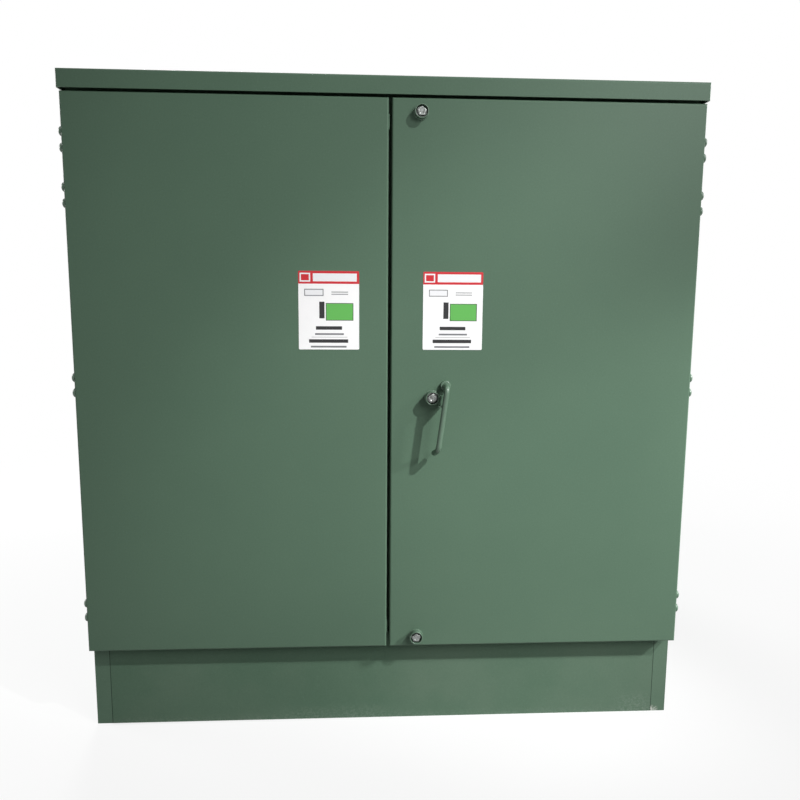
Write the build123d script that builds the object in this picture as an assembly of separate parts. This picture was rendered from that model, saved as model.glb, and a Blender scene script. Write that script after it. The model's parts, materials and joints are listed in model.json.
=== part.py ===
from build123d import *
import os
from math import cos, radians, sin

# Three-phase pad-mounted transformer. +X is to the right, +Y away from the doors, +Z up.
# The origin lies on the ground, under the middle of the base's footprint.
# All sizes are in millimetres.

# Cabinet as a whole
cabinet_width = 1442
base_depth = 1300
door_bottom = 210
door_height = 1290
front_y = -base_depth / 2
side_x = cabinet_width / 2

# Sheet thicknesses and small clearances
door_sheet = 3
side_sheet = 3
hood_sheet = 3
sill_sheet = 3
barrier_sheet = 3
cut_over = 5
seat_gap = 0.3

# Doors: two folded pans
door_pair_width = 1440
centre_gap = 7
door_depth = 25
door_bend = 4
stiffener_width = 60
stiffener_crown = 30
stiffener_depth = 14
stiffener_sheet = 2
stiffener_end = 70

# Hinges: pin axis behind the pan's rim, at the door's outer edge
hinge_spacing = 544
hinge_height = 76
pin_back = 33
pin_radius = 4
barrel_radius = 6.5
knuckle_share = 0.5
knuckle_gap = 1
pin_clearance = 0.1
leaf_thickness = 3
leaf_front = 5
fixed_leaf_reach = 32
barrel_relief = 1.5

# Cabinet frame behind the doors
flange_back = 40
flange_width = 36
header_height = 70
header_depth = 60
sill_lip = 45
sill_lip_rise = 20

# Hood over the compartment
hood_gap = 5.7
hood_lip = 40
hood_overlap = 4
hood_side_gap = 0.5
hood_bend = 5
hood_rise = 14

# Tank
tank_depth = 700
tank_plate = 6
tank_cover_plate = 8
tank_floor_plate = 10
tank_cover_overhang = 12
tank_cover_round = 12

# Barrier between the two compartments
barrier_x = 2
barrier_front = 56
barrier_flange = 40
barrier_bottom = 60

# Penta-head bolts in their guard cups, on the right door
guard_outer = 31
guard_inner = 27
guard_height = 16
middle_guard_height = 24
guard_floor = 2
penta_x = 69
penta_from_top = 31
penta_from_bottom = 27
middle_penta_x = 100
middle_penta_height = 618.5
penta_head = 21
penta_sides = 5
penta_head_height = 10
penta_head_recess = 1
penta_shank = 12.7
penta_tip_back = 8
penta_washer = 24
penta_washer_height = 2
hasp_plate = 3
hasp_reach = 12
hasp_front = 20
hasp_hole = 7
hasp_turn = -45

# Door handle: a bent rod with a hook at its lower end
handle_x = 132
handle_height = 645.5
rod_size = 12.7
handle_stand_off = 46
handle_bend = 10
grip_length = 148
grip_lean = 7.5
hook_reach = 24
hook_slant = 12
hook_bend = 9
shaft_clearance = 0.08
collar_radius = 12
collar_height = 8
collar_round = 2
ear_plate = 3
ear_reach = 9
ear_depth = 16
ear_drop = 43

# Latch: a cam on the handle's shaft drives two flat rods
cam_back = 13
cam_plate = 5
cam_radius = 30
cam_hub_radius = 11
crank_start = 45
cam_pin_radius = 4
cam_pin_length = 9
latch_rod_width = 16
latch_rod_plate = 4
latch_rod_back = 20
latch_rod_end_gap = 52
latch_slot_clearance = 1.4
latch_head_height = 34
latch_head_width = 42
latch_head_round = 3
guide_inset = 150
guide_height = 24
guide_wall = 3
guide_clearance = 0.5

# Free-edge tabs of the left door
tab_height = 33
tab_proud = 1.8
tab_from_edge = 51
tab_depth = 16

# Door stay brackets
stay_height = 1070
stay_bracket_height = 60
stay_bracket_reach = 34
stay_bracket_sheet = 4
stay_hole = 9

# Radiators on the rear of the tank
panel_count = 22
panel_pitch = 48
panel_height = 1080
panel_width = 232
panel_bottom = 200
panel_web = 3
flute_count = 4
flute_thickness = 10
flute_land_share = 0.22
panel_taper = 45
header_box = 60
header_stub_radius = 25
header_stub_length = 42
header_end_margin = 20
header_stub_share = 0.3

# Lifting lugs on the tank's side walls
lug_plate = 16
lug_height = 110
lug_reach = 62
lug_hole = 35
lug_round = 17
lug_top = 170
lug_share = 0.3

# Cover fittings
handhole_length = 520
handhole_width = 300
handhole_sheet = 3
handhole_lip = 23
handhole_lip_gap = 5
handhole_round = 6
handhole_frame_inset = 25

# High-voltage bushings, left compartment
hv_count = 3
hv_spacing = 165
hv_height = 1060
hv_centre_x = -400
well_flange_radius = 62
well_flange_height = 10
well_body_radius = 40
well_nose_radius = 27
well_length = 120
well_nose_length = 75
stand_width = 60
stand_height = 44
stand_reach = 60
stand_sheet = 4
stand_drop = 150

# Low-voltage bushings, right compartment
lv_count = 4
lv_spacing = 135
lv_height = 900
lv_centre_x = 355
lv_flange_radius = 50
lv_flange_height = 12
lv_body_radius = 34
lv_body_length = 70
shed_radius = 42
shed_thickness = 8
shed_count = 2
stud_radius = 14
stud_length = 40
spade_width = 60
spade_height = 160
spade_thickness = 12
spade_hole = 14
spade_hole_rows = 2
spade_hole_pitch = 44
spade_hole_first = 22
spade_bore_drop = 25

# Gauges, tap changer, valve and ground pads
gauge_radius = 48
gauge_depth = 36
gauge_rim = 6
gauge_glass_depth = 6
gauge_x = -640
gauge_level_height = 1330
gauge_pitch = 130
tap_x = 620
tap_height = 1330
tap_dial_radius = 42
tap_dial_depth = 10
tap_handle_length = 90
tap_handle_width = 18
tap_handle_depth = 14
tap_handle_round = 4.5
tap_hub_radius = 16
tap_hub_depth = 22
valve_x = 620
valve_height = 110
valve_body_radius = 24
valve_body_length = 78
valve_stub_radius = 17
valve_stub_length = 26
valve_cap_radius = 22
valve_cap_length = 30
valve_neck_radius = 11
valve_neck_length = 40
valve_wheel_radius = 38
valve_wheel_height = 10
pad_width = 50
pad_height = 90
pad_thickness = 12
pad_hole = 13
pad_hole_pitch = 44.5
pad_bottom = 90

# Hold-down brackets inside the compartment
anchor_length = 110
anchor_leg = 60
anchor_plate = 8
anchor_hole = 20
anchor_back = 150
anchor_hole_share = 0.5

# Core and coils, sealed in the tank
core_width = 900
core_height = 820
core_depth = 170
core_limb = 130
core_lift = 40
coil_radius = 150
coil_margin = 45

# Places worked out from the sizes above
door_outer_x = door_pair_width / 2
door_top = door_bottom + door_height
door_middle = door_bottom + door_height / 2
flange_y = front_y + flange_back
tank_back_y = base_depth / 2
tank_front_y = tank_back_y - tank_depth
hood_bottom = door_top + hood_gap
hood_front_top = hood_bottom + hood_lip
tank_top = hood_front_top + hood_rise
hinge_heights = [door_middle + step * hinge_spacing for step in (-1, 0, 1)]
handle_z = door_bottom + handle_height
shaft_radius = rod_size / 2


def block(xs, ys, zs):
    """A box between its low and high places along each axis."""
    ranges = [xs, ys, zs]
    size = [high - low for low, high in ranges]
    middle = [(high + low) / 2 for low, high in ranges]
    return Pos(*middle) * Box(*size)


def rod_y(x, z, y_from, y_to, radius):
    """A round bar along Y, between two depths."""
    bar = Cylinder(radius, abs(y_to - y_from), rotation=(90, 0, 0))
    return Pos(x, (y_from + y_to) / 2, z) * bar


def rod_z(x, y, z_from, z_to, radius):
    """A round bar along Z, between two heights."""
    return Pos(x, y, (z_from + z_to) / 2) * Cylinder(radius, abs(z_to - z_from))


def turned_y(x, y, z, outline):
    """A turned piece on an axis along Y. The outline gives (radius, distance towards the front)."""
    profile = make_face(Polyline(*[(radius, -reach) for radius, reach in outline], close=True))
    return Pos(x, y, z) * revolve(profile, Axis.Y)


def side_plate(outline, x_from, x_to):
    """A plate with its outline in the YZ plane, between two places along X."""
    face = Plane.YZ.offset(x_from) * make_face(Polyline(*outline, close=True))
    return extrude(face, x_to - x_from)


def plan_plate(outline, z_from, z_to):
    """A plate or folded section with its outline in plan, between two heights."""
    face = Plane.XY.offset(z_from) * make_face(Polyline(*outline, close=True))
    return extrude(face, z_to - z_from)


def mirrored(shape, side):
    """The shape as drawn for the right-hand side, or its mirror image for the left."""
    return shape if side > 0 else mirror(shape, Plane.YZ)


def pan(xs, zs, y_front, depth, sheet, bend):
    """A sheet folded back round its four edges, open at the rear."""
    blank = block(xs, (y_front, y_front + depth), zs)
    blank = fillet(blank.faces().sort_by(Axis.Y)[0].edges(), bend)
    rear = blank.faces().sort_by(Axis.Y)[-1]
    return offset(blank, amount=-sheet, openings=rear)


parts = {}


# Tank: floor, walls and cover as separate plates


def tank_floor():
    return block((-side_x, side_x), (tank_front_y, tank_back_y), (0, tank_floor_plate))


def tank_side_wall(side):
    xs = (side_x - tank_plate, side_x)
    ys = (tank_front_y + tank_plate, tank_back_y - tank_plate)
    return mirrored(block(xs, ys, (tank_floor_plate, tank_top)), side)


def tank_rear_wall():
    ys = (tank_back_y - tank_plate, tank_back_y)
    return block((-side_x, side_x), ys, (tank_floor_plate, tank_top))


def tank_front_wall():
    ys = (tank_front_y, tank_front_y + tank_plate)
    return block((-side_x, side_x), ys, (tank_floor_plate, tank_top))


def tank_cover():
    reach = side_x + tank_cover_overhang
    ys = (tank_front_y + hood_sheet, tank_back_y + tank_cover_overhang)
    cover = block((-reach, reach), ys, (tank_top, tank_top + tank_cover_plate))
    return fillet(cover.edges().filter_by(Axis.Z), tank_cover_round)


def handhole_cover():
    """A folded weather cover over the handhole's welded frame, on top of the tank's cover."""
    centre_y = (tank_front_y + tank_back_y) / 2
    base_z = tank_top + tank_cover_plate
    lip_bottom = base_z + handhole_lip_gap
    top = lip_bottom + handhole_lip
    half = handhole_length / 2
    reach = handhole_width / 2
    outer = block((-half, half), (centre_y - reach, centre_y + reach), (lip_bottom, top))
    outer = fillet(outer.edges().filter_by(Axis.Z), handhole_round)
    half -= handhole_sheet
    reach -= handhole_sheet
    zs = (lip_bottom - cut_over, top - handhole_sheet)
    cover = outer - block((-half, half), (centre_y - reach, centre_y + reach), zs)
    half -= handhole_frame_inset
    reach -= handhole_frame_inset
    zs = (base_z, top - handhole_sheet)
    return cover + block((-half, half), (centre_y - reach, centre_y + reach), zs)


def lifting_lugs():
    """Four hooked plates, two on each side wall of the tank."""
    lugs = []
    top = tank_top - lug_top
    for side in (-1, 1):
        for share in (lug_share, 1 - lug_share):
            y = tank_front_y + share * tank_depth
            outline = [
                (0, top),
                (lug_reach, top),
                (lug_reach, top - lug_height / 2),
                (0, top - lug_height),
            ]
            face = Plane.XZ.offset(-y - lug_plate / 2) * make_face(Polyline(*outline, close=True))
            plate = Pos(side_x, 0, 0) * extrude(face, lug_plate)
            outer = plate.edges().filter_by(Axis.Y).group_by(Axis.X)[-1]
            plate = fillet(outer, lug_round)
            hole_z = top - lug_hole
            plate -= rod_y(side_x + lug_reach / 2, hole_z, y - lug_plate, y + lug_plate, lug_hole / 2)
            lugs.append(mirrored(plate, side))
    return lugs


# Core and coils, sealed in the tank


def core():
    """A three-limb core: a plate with two windows."""
    middle_y = (tank_front_y + tank_back_y) / 2
    ys = (middle_y - core_depth / 2, middle_y + core_depth / 2)
    bottom = tank_floor_plate
    feet_top = bottom + core_lift
    body = block((-core_width / 2, core_width / 2), ys, (feet_top, feet_top + core_height))
    window = (core_width - 3 * core_limb) / 2
    for side in (-1, 1):
        x_low = side * (core_limb + window) / 2 - window / 2
        zs = (feet_top + core_limb, feet_top + core_height - core_limb)
        body -= block((x_low, x_low + window), (ys[0] - cut_over, ys[1] + cut_over), zs)
        foot_x = side * (core_width - core_limb) / 2
        xs = (foot_x - core_limb / 2, foot_x + core_limb / 2)
        body += block(xs, ys, (bottom, feet_top))
    return body


def windings():
    """One coil round each limb of the core."""
    middle_y = (tank_front_y + tank_back_y) / 2
    pitch = (core_width - core_limb) / 2
    low = tank_floor_plate + core_lift + core_limb + coil_margin
    high = tank_floor_plate + core_lift + core_height - core_limb - coil_margin
    coils = []
    for step in (-1, 0, 1):
        coil = rod_z(step * pitch, middle_y, low, high, coil_radius)
        xs = (step * pitch - core_limb / 2, step * pitch + core_limb / 2)
        ys = (middle_y - core_depth / 2, middle_y + core_depth / 2)
        coils.append(coil - block(xs, ys, (low - cut_over, high + cut_over)))
    return coils


# Radiators: pressed panels between an upper and a lower header


def panel_y():
    return tank_back_y + header_stub_length + header_box


def radiator_panel(x):
    """A pressed plate pair: vertical flutes joined by flat lands, pinched at both ends."""
    y_from = panel_y()
    pitch = panel_width / flute_count
    land = pitch * flute_land_share
    web = panel_web / 2
    bulge = flute_thickness / 2
    upper = []
    for index in range(flute_count):
        low = y_from + index * pitch
        upper += [
            (web, low),
            (web, low + land / 2),
            (bulge, low + land),
            (bulge, low + pitch - land),
            (web, low + pitch - land / 2),
        ]
    upper.append((web, y_from + panel_width))
    lower = [(-half, y) for half, y in reversed(upper)]
    section = make_face(Polyline(*upper, *lower, close=True))
    top = panel_bottom + panel_height
    body = extrude(Plane.XY.offset(panel_bottom) * section, panel_height)
    taper = side_plate(
        [
            (y_from, panel_bottom),
            (y_from + panel_width - panel_taper, panel_bottom),
            (y_from + panel_width, panel_bottom + panel_taper),
            (y_from + panel_width, top - panel_taper),
            (y_from + panel_width - panel_taper, top),
            (y_from, top),
        ],
        -flute_thickness,
        flute_thickness,
    )
    return Pos(x, 0, 0) * (body & taper)


def radiator_panels():
    first = -(panel_count - 1) * panel_pitch / 2
    panels = [radiator_panel(first + index * panel_pitch) for index in range(panel_count)]
    middle = panel_count // 2
    return panels[:middle], panels[middle:]


def radiator_header(z):
    """A box header with closed ends, on stub pipes from the tank's rear wall."""
    half = (panel_count - 1) * panel_pitch / 2 + header_end_margin
    y_low = tank_back_y + header_stub_length
    box = block((-half, half), (y_low, y_low + header_box), (z, z + header_box))
    for share in (-header_stub_share, header_stub_share):
        x = share * 2 * half
        stub = rod_y(x, z + header_box / 2, tank_back_y, y_low, header_stub_radius)
        box += stub
    return box


def radiator_headers():
    top = panel_bottom + panel_height
    return [radiator_header(panel_bottom), radiator_header(top - header_box)]


# Cabinet: sides with a front flange, header, sill, barrier and hood


def cabinet_side(side):
    """The side sheet with its front edge folded inwards behind the door."""
    outline = [
        (side_x, flange_y),
        (side_x, tank_front_y),
        (side_x - side_sheet, tank_front_y),
        (side_x - side_sheet, flange_y + side_sheet),
        (side_x - flange_width, flange_y + side_sheet),
        (side_x - flange_width, flange_y),
    ]
    return mirrored(plan_plate(outline, 0, hood_front_top - hood_sheet - seat_gap), side)


def cabinet_header():
    """A channel across the top of the door opening, with its web behind the doors."""
    y_low = flange_y
    top = hood_front_top - hood_sheet - seat_gap
    bottom = top - header_height
    outline = [
        (y_low, bottom),
        (y_low, top),
        (y_low + header_depth, top),
        (y_low + header_depth, top - side_sheet),
        (y_low + side_sheet, top - side_sheet),
        (y_low + side_sheet, bottom + side_sheet),
        (y_low + header_depth, bottom + side_sheet),
        (y_low + header_depth, bottom),
    ]
    half = side_x - flange_width
    return side_plate(outline, -half, half)


def sill_panel():
    """The sheet under the doors, with its top edge folded back."""
    half = side_x - flange_width
    top = door_bottom + sill_lip_rise
    outline = [
        (flange_y, 0),
        (flange_y, top),
        (flange_y + sill_lip, top),
        (flange_y + sill_lip, top - sill_sheet),
        (flange_y + sill_sheet, top - sill_sheet),
        (flange_y + sill_sheet, 0),
    ]
    return side_plate(outline, -half, half)


def compartment_barrier():
    """The steel barrier between the two compartments, flanged behind the centre gap."""
    half = barrier_flange / 2
    y_low = front_y + barrier_front
    outline = [
        (barrier_x - half, y_low),
        (barrier_x + half, y_low),
        (barrier_x + half, y_low + barrier_sheet),
        (barrier_x + barrier_sheet / 2, y_low + barrier_sheet),
        (barrier_x + barrier_sheet / 2, tank_front_y),
        (barrier_x - barrier_sheet / 2, tank_front_y),
        (barrier_x - barrier_sheet / 2, y_low + barrier_sheet),
        (barrier_x - half, y_low + barrier_sheet),
    ]
    top = hood_front_top - hood_sheet - seat_gap
    sheet = plan_plate(outline, barrier_bottom, top)
    # Room for the header channel, the sill's lip, and the way under the door opening
    notch_back = flange_y + header_depth + seat_gap
    xs = (-barrier_flange, barrier_flange)
    sheet -= block(xs, (y_low - cut_over, notch_back), (top - header_height - seat_gap, top + cut_over))
    sill_top = door_bottom + sill_lip_rise + seat_gap
    notch_back = flange_y + sill_lip + seat_gap
    sheet -= block(xs, (y_low - cut_over, notch_back), (0, sill_top))
    return sheet


def hood():
    """The compartment's cover: a pan with front and side lips, rising gently to the tank."""
    half = side_x + hood_side_gap + hood_sheet
    y_front = front_y - hood_overlap
    y_back = tank_front_y
    outer = side_plate(
        [
            (y_front, hood_bottom),
            (y_front, hood_front_top),
            (y_back, tank_top),
            (y_back, hood_bottom),
        ],
        -half,
        half,
    )
    inner = side_plate(
        [
            (y_front + hood_sheet, hood_bottom - cut_over),
            (y_front + hood_sheet, hood_front_top - hood_sheet),
            (y_back + cut_over, tank_top - hood_sheet),
            (y_back + cut_over, hood_bottom - cut_over),
        ],
        -half + hood_sheet,
        half - hood_sheet,
    )
    corners = outer.edges().filter_by(Axis.Z).group_by(Axis.Y)[0]
    top_front = outer.edges().filter_by(Axis.X).group_by(Axis.Y)[0].sort_by(Axis.Z)[-1]
    return fillet(corners + [top_front], hood_bend) - inner


# Doors and their hinges


def hinge_zones():
    """Lower, middle and upper knuckle of a hinge, as heights from its centre."""
    half = hinge_height / 2
    middle = half * knuckle_share
    return [(-half, -middle - knuckle_gap), (-middle, middle), (middle + knuckle_gap, half)]


def fixed_hinge_leaves(side):
    """Welded leaves on the cabinet's flange, each with its two knuckles and pin in one piece."""
    pin_y = front_y + pin_back
    leaves = []
    for z in hinge_heights:
        low, middle, high = hinge_zones()
        leaf_ys = (flange_y - leaf_thickness, flange_y)
        relief_x = door_outer_x - barrel_radius - barrel_relief
        inner_x = door_outer_x - fixed_leaf_reach
        leaf = block((inner_x, relief_x), leaf_ys, (z + low[0], z + high[1]))
        for zone in (low, high):
            leaf += block((inner_x, door_outer_x), leaf_ys, (z + zone[0], z + zone[1]))
            leaf += rod_z(door_outer_x, pin_y, z + zone[0], z + zone[1], barrel_radius)
        leaf += rod_z(door_outer_x, pin_y, z + low[0], z + high[1], pin_radius)
        leaves.append(mirrored(leaf, side))
    return leaves


def door_hinge_leaves(side):
    """Leaves inside the door's outer flange, each with one knuckle round the pin."""
    pin_y = front_y + pin_back
    leaves = []
    for z in hinge_heights:
        low, middle, high = hinge_zones()
        x_high = door_outer_x - door_sheet
        ys = (front_y + leaf_front, front_y + door_depth)
        leaf = block((x_high - leaf_thickness, x_high), ys, (z + low[0], z + high[1]))
        ys = (front_y + door_depth, pin_y)
        leaf += block((x_high - leaf_thickness, x_high), ys, (z + middle[0], z + middle[1]))
        leaf += rod_z(door_outer_x, pin_y, z + middle[0], z + middle[1], barrel_radius)
        bore = pin_radius + pin_clearance
        leaf -= rod_z(door_outer_x, pin_y, z + middle[0] - cut_over, z + middle[1] + cut_over, bore)
        leaves.append(mirrored(leaf, side))
    return leaves


def door_pan(side):
    xs = (centre_gap / 2, door_outer_x)
    return mirrored(pan(xs, (door_bottom, door_top), front_y, door_depth, door_sheet, door_bend), side)


def penta_places():
    """The three penta bolts, each with its cup's height: top, bottom, and beside the handle."""
    return [
        (penta_x, door_top - penta_from_top, guard_height),
        (penta_x, door_bottom + penta_from_bottom, guard_height),
        (middle_penta_x, door_bottom + middle_penta_height, middle_guard_height),
    ]


def right_door_panel():
    panel = door_pan(1)
    ys = (front_y - cut_over, front_y + door_sheet + cut_over)
    for x, z, _ in penta_places():
        panel -= rod_y(x, z, *ys, penta_shank / 2 + seat_gap)
    panel -= rod_y(handle_x, handle_z, *ys, shaft_radius + shaft_clearance)
    return panel


def door_stiffener(side):
    """A hat section down the middle of the door's inner face."""
    x = (centre_gap / 2 + door_outer_x) / 2
    y_low = front_y + door_sheet
    half = stiffener_width / 2
    inner = stiffener_crown / 2
    deep = y_low + stiffener_depth
    sheet = stiffener_sheet
    outline = [
        (x - half, y_low),
        (x - inner, y_low),
        (x - inner, deep - sheet),
        (x + inner, deep - sheet),
        (x + inner, y_low),
        (x + half, y_low),
        (x + half, y_low + sheet),
        (x + inner + sheet, y_low + sheet),
        (x + inner + sheet, deep),
        (x - inner - sheet, deep),
        (x - inner - sheet, y_low + sheet),
        (x - half, y_low + sheet),
    ]
    section = plan_plate(outline, door_bottom + stiffener_end, door_top - stiffener_end)
    return mirrored(section, side)


def left_door_tabs():
    """Two small angle tabs at the left door's free edge, standing just into the gap."""
    tabs = []
    x_edge = -centre_gap / 2
    for z in (door_top - tab_from_edge, door_bottom + tab_from_edge):
        y_low = front_y + (door_depth - tab_depth) / 2
        xs = (x_edge, x_edge + tab_proud)
        zs = (z - tab_height / 2, z + tab_height / 2)
        tabs.append(block(xs, (y_low, y_low + tab_depth), zs))
    return tabs


def stay_bracket(side):
    """An angle on the door's outer flange that takes the end of the door stay."""
    z = door_bottom + stay_height
    x_high = door_outer_x - door_sheet
    ys = (front_y + leaf_front, front_y + door_depth)
    zs = (z - stay_bracket_height / 2, z + stay_bracket_height / 2)
    bracket = block((x_high - stay_bracket_sheet, x_high), ys, zs)
    ledge_zs = (zs[0], zs[0] + stay_bracket_sheet)
    bracket += block((x_high - stay_bracket_reach, x_high), ys, ledge_zs)
    hole_x = x_high - stay_bracket_reach / 2 - stay_bracket_sheet
    hole_y = (ys[0] + ys[1]) / 2
    bracket -= rod_z(hole_x, hole_y, ledge_zs[0] - cut_over, ledge_zs[1] + cut_over, stay_hole / 2)
    return mirrored(bracket, side)


def penta_guard(x, z, height):
    """A round cup welded on the door, standing round a bolt's head."""
    outer = guard_outer / 2
    inner = guard_inner / 2
    hole = penta_shank / 2 + seat_gap
    outline = [
        (hole, 0),
        (outer, 0),
        (outer, height),
        (inner, height),
        (inner, guard_floor),
        (hole, guard_floor),
    ]
    return turned_y(x, front_y, z, outline)


def padlock_hasp():
    """A thin plate with a hole, welded to the side of the middle cup."""
    low = (guard_outer + guard_inner) / 4
    high = guard_outer / 2 + hasp_reach
    half = hasp_plate / 2
    plate = block((low, high), (-hasp_front, 0), (-half, half))
    hole_x = high - hasp_reach / 2
    plate -= rod_z(hole_x, -hasp_front + hasp_reach / 2, -hasp_plate, hasp_plate, hasp_hole / 2)
    place = (middle_penta_x, front_y, door_bottom + middle_penta_height)
    return Pos(*place) * Rot(0, -hasp_turn, 0) * plate


def penta_guards():
    guards = [penta_guard(x, z, height) for x, z, height in penta_places()]
    guards[-1] += padlock_hasp()
    return guards


def penta_bolt(x, z, cup_height):
    """A five-sided head on a round washer face, with its shank through the cup and the door."""
    head_front = cup_height - penta_head_recess
    head_low = head_front - penta_head_height
    washer_low = head_low - penta_washer_height
    outline = [
        (0, -penta_tip_back),
        (penta_shank / 2, -penta_tip_back),
        (penta_shank / 2, washer_low),
        (penta_washer / 2, washer_low),
        (penta_washer / 2, head_low),
        (0, head_low),
    ]
    body = turned_y(x, front_y, z, outline)
    sketch = Plane.XZ.offset(-front_y + head_low) * (Pos(x, z) * RegularPolygon(penta_head / 2, penta_sides))
    return body + extrude(sketch, penta_head_height)


def penta_bolts():
    return [penta_bolt(*place) for place in penta_places()]


def handle_collar():
    """The turned bearing on the door that carries the handle's shaft."""
    bore = shaft_radius + shaft_clearance
    outline = [
        (bore, 0),
        (collar_radius, 0),
        (collar_radius, collar_height - collar_round),
        (collar_radius - collar_round, collar_height),
        (bore, collar_height),
    ]
    return turned_y(handle_x, front_y, handle_z, outline)


def door_handle():
    """A round rod: out of the door, down along the grip, and hooked back at its end."""
    lean = radians(grip_lean)
    y_grip = front_y - handle_stand_off
    end_x = handle_x - grip_length * sin(lean)
    end_z = handle_z - grip_length * cos(lean)
    route = FilletPolyline(
        (handle_x, front_y + cam_back + cam_plate, handle_z),
        (handle_x, y_grip, handle_z),
        (end_x, y_grip, end_z),
        (end_x - hook_slant, y_grip + hook_reach, end_z),
        radius=(handle_bend, hook_bend),
    )
    section = Plane(origin=route @ 0, z_dir=route % 0) * Circle(shaft_radius)
    rod = sweep(section, path=route)
    half = ear_plate / 2
    ys = (-ear_depth / 2, ear_depth / 2)
    ear = block((-shaft_radius - ear_reach, 0), ys, (-ear_drop - half, -ear_drop + half))
    return rod + Pos(handle_x, y_grip, handle_z) * Rot(0, grip_lean, 0) * ear


def cam_pin_place():
    """Offset of the left-hand cam pin from the shaft."""
    angle = radians(crank_start)
    return -cam_radius * cos(angle), cam_radius * sin(angle)


def latch_cam():
    """A plate on the shaft with a pin for each latch rod, a half turn apart."""
    y_low = front_y + cam_back
    x_off, z_off = cam_pin_place()
    hub_top = y_low + cam_plate
    plate = Plane.XZ.offset(-hub_top) * (
        Pos(handle_x, handle_z) * SlotCenterToCenter(2 * cam_radius, 2 * cam_hub_radius, -crank_start)
    )
    cam = extrude(plate, cam_plate)
    for sign in (1, -1):
        x = handle_x + sign * x_off
        z = handle_z + sign * z_off
        cam += rod_y(x, z, hub_top, hub_top + cam_pin_length, cam_pin_radius)
    return cam - rod_y(handle_x, handle_z, y_low - cut_over, hub_top + cut_over, shaft_radius)


def latch_rod(direction):
    """A flat rod along the door, ending in a slotted head that the cam's pin drives."""
    x_off, z_off = cam_pin_place()
    sign = 1 if direction > 0 else -1
    slot_swing = cam_radius - abs(x_off)
    x = handle_x + sign * (x_off - slot_swing / 2)
    pin_z = handle_z + sign * z_off
    y_low = front_y + latch_rod_back
    ys = (y_low, y_low + latch_rod_plate)
    half_head = latch_head_height / 2
    half_width = latch_head_width / 2
    head = block((x - half_width, x + half_width), ys, (pin_z - half_head, pin_z + half_head))
    slot_half = cam_pin_radius + latch_slot_clearance
    slot_reach = slot_swing / 2 + slot_half
    slot_ys = (ys[0] - cut_over, ys[1] + cut_over)
    slot_zs = (pin_z - slot_half, pin_z + slot_half)
    head = fillet(head.edges().filter_by(Axis.Y), latch_head_round)
    head -= block((x - slot_reach, x + slot_reach), slot_ys, slot_zs)
    end_z = door_top - latch_rod_end_gap if direction > 0 else door_bottom + latch_rod_end_gap
    zs = sorted((pin_z + direction * (half_head - latch_rod_plate), end_z))
    half = latch_rod_width / 2
    return head + block((x - half, x + half), ys, zs)


def latch_guides():
    """Folded straps on the door that keep each latch rod in line."""
    guides = []
    x_off = cam_pin_place()[0]
    slot_swing = cam_radius - abs(x_off)
    places = [
        (handle_x + (x_off - slot_swing / 2), door_top - guide_inset),
        (handle_x - (x_off - slot_swing / 2), door_bottom + guide_inset),
        (handle_x + (x_off - slot_swing / 2), handle_z + 2 * guide_inset),
        (handle_x - (x_off - slot_swing / 2), handle_z - 2 * guide_inset),
    ]
    low = front_y + door_sheet
    rod_low = front_y + latch_rod_back - guide_clearance
    rod_high = front_y + latch_rod_back + latch_rod_plate + guide_clearance
    half = latch_rod_width / 2 + guide_clearance
    for x, z in places:
        zs = (z - guide_height / 2, z + guide_height / 2)
        solid = block((x - half - guide_wall, x + half + guide_wall), (low, rod_high + guide_wall), zs)
        solid -= block((x - half, x + half), (rod_low, rod_high), (zs[0] - cut_over, zs[1] + cut_over))
        guides.append(solid)
    return guides


# Fittings inside the compartments


def row_places(centre, count, spacing):
    """Evenly spaced places, as many on one side of the centre as on the other."""
    return [centre + (step - (count - 1) / 2) * spacing for step in range(count)]


def hv_places():
    return row_places(hv_centre_x, hv_count, hv_spacing)


def lv_places():
    return row_places(lv_centre_x, lv_count, lv_spacing)


def hv_bushings():
    """Bushing wells closed by insulated caps, in a row on the tank's front wall."""
    outline = [
        (0, 0),
        (well_flange_radius, 0),
        (well_flange_radius, well_flange_height),
        (well_body_radius, well_flange_height),
        (well_body_radius, well_length - well_nose_length),
        (well_nose_radius, well_length),
        (0, well_length),
    ]
    return [turned_y(x, tank_front_y, hv_height, outline) for x in hv_places()]


def parking_stands():
    """Bent brackets beside the bushings, where a removed elbow is parked."""
    stands = []
    for x in hv_places():
        z = hv_height - stand_drop
        half = stand_width / 2
        outline = [
            (tank_front_y, z),
            (tank_front_y, z + stand_height),
            (tank_front_y - stand_sheet, z + stand_height),
            (tank_front_y - stand_sheet, z + stand_sheet),
            (tank_front_y - stand_reach, z + stand_sheet),
            (tank_front_y - stand_reach, z),
        ]
        stands.append(side_plate(outline, x - half, x + half))
    return stands


def lv_bushings():
    """Porcelain bushings with sheds, in a row on the tank's front wall."""
    outline = [(0, 0), (lv_flange_radius, 0), (lv_flange_radius, lv_flange_height)]
    pitch = (lv_body_length - lv_flange_height) / shed_count
    for index in range(shed_count):
        low = lv_flange_height + index * pitch
        outline += [
            (lv_body_radius, low),
            (shed_radius, low + pitch - shed_thickness),
            (shed_radius, low + pitch),
        ]
    outline += [(0, lv_body_length)]
    return [turned_y(x, tank_front_y, lv_height, outline) for x in lv_places()]


def lv_spades():
    """Flat terminals with their holes, each on a stud out of its bushing."""
    spades = []
    y_stud = tank_front_y - lv_body_length
    y_low = y_stud - stud_length - spade_thickness
    for x in lv_places():
        stud = rod_y(x, lv_height, y_stud, y_low, stud_radius)
        half = spade_width / 2
        zs = (lv_height + spade_bore_drop - spade_height, lv_height + spade_bore_drop)
        blade = block((x - half, x + half), (y_low, y_low + spade_thickness), zs)
        for row in range(spade_hole_rows):
            z = zs[0] + spade_hole_first + row * spade_hole_pitch
            blade -= rod_y(x, z, y_low - cut_over, y_low + spade_thickness + cut_over, spade_hole / 2)
        spades.append(stud + blade)
    return spades


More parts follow.
